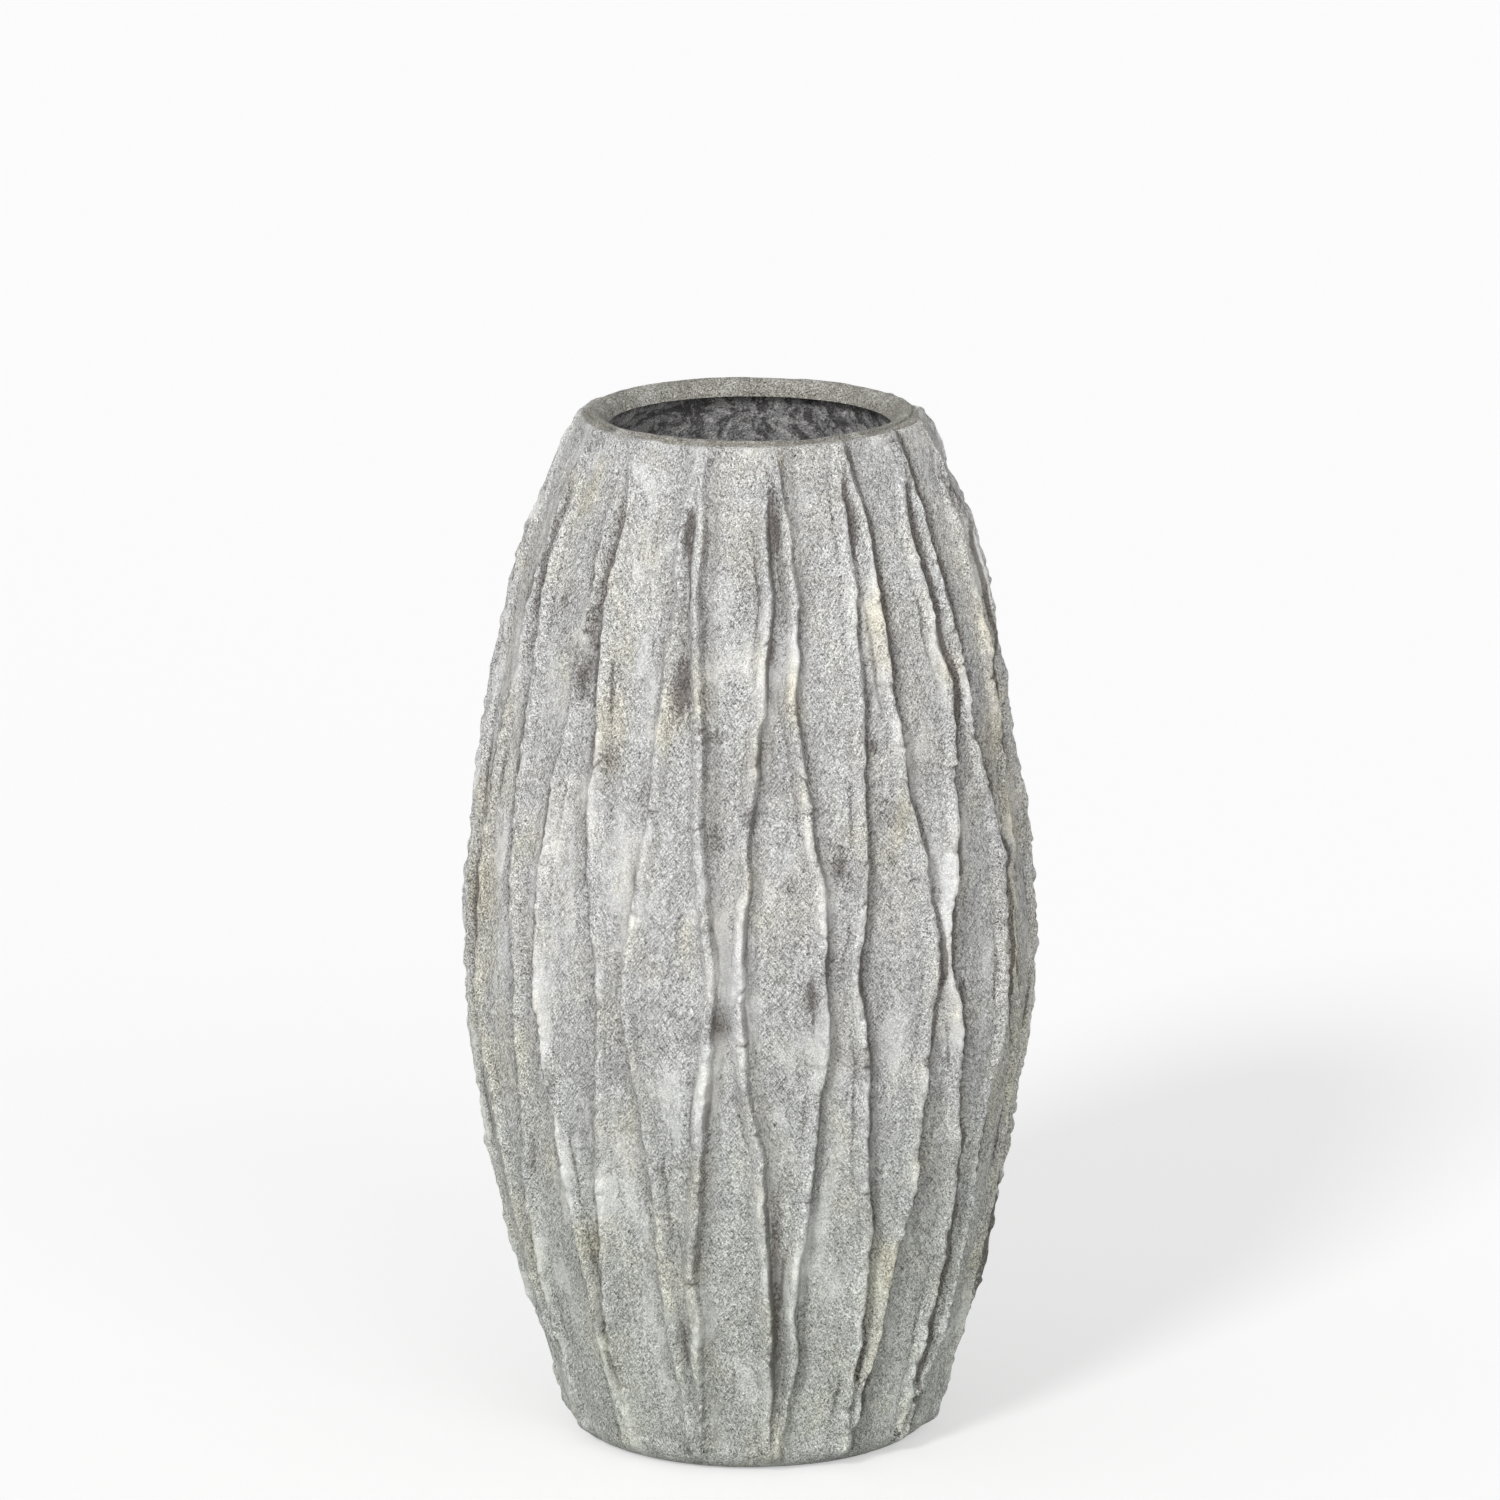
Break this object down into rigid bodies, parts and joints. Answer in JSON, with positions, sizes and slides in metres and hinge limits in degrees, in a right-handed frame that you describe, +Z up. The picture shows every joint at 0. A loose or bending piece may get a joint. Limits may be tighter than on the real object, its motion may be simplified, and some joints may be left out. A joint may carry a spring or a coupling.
{
  "type": "floor vase",
  "caption": "Barrel-shaped floor vase of rough grey stoneware, with hand-laid clay strips closing into long leaves over the wall, a rounded rim coil and a dark sealed inside.",
  "frame": {"origin": "middle of the base's flat underside, on the floor", "axes": "+Z up along the vase's axis, -Y to the front seen in the picture, +X to the right of that view"},
  "size_m": [0.3832, 0.3844, 0.7],
  "materials": {
    "stoneware": "rough, unglazed, sanded grey",
    "strip_clay": "rough, unglazed, paler on the crests",
    "rim_clay": "matt, smoothed, beige grey",
    "sealing_coat": "dull dark grey, marbled"
  },
  "bodies": {
    "root": {"base_slab": "stoneware", "body_wall": "stoneware", "sealing_coat": "sealing_coat", "rim_coil": "rim_clay", "leaf_01_left_strip": "strip_clay", "leaf_01_right_strip": "strip_clay", "leaf_02_left_strip": "strip_clay", "leaf_02_right_strip": "strip_clay", "leaf_03_left_strip": "strip_clay", "leaf_03_right_strip": "strip_clay", "leaf_04_left_strip": "strip_clay", "leaf_04_right_strip": "strip_clay", "leaf_05_left_strip": "strip_clay", "leaf_05_right_strip": "strip_clay", "leaf_06_left_strip": "strip_clay", "leaf_06_right_strip": "strip_clay", "leaf_07_left_strip": "strip_clay", "leaf_07_right_strip": "strip_clay", "leaf_08_left_strip": "strip_clay", "leaf_08_right_strip": "strip_clay", "leaf_09_left_strip": "strip_clay", "leaf_09_right_strip": "strip_clay", "leaf_10_left_strip": "strip_clay", "leaf_10_right_strip": "strip_clay", "leaf_11_left_strip": "strip_clay", "leaf_11_right_strip": "strip_clay", "leaf_12_left_strip": "strip_clay", "leaf_12_right_strip": "strip_clay", "leaf_13_left_strip": "strip_clay", "leaf_13_right_strip": "strip_clay", "leaf_14_left_strip": "strip_clay", "leaf_14_right_strip": "strip_clay", "leaf_15_left_strip": "strip_clay", "leaf_15_right_strip": "strip_clay"}
  },
  "joints": []
}
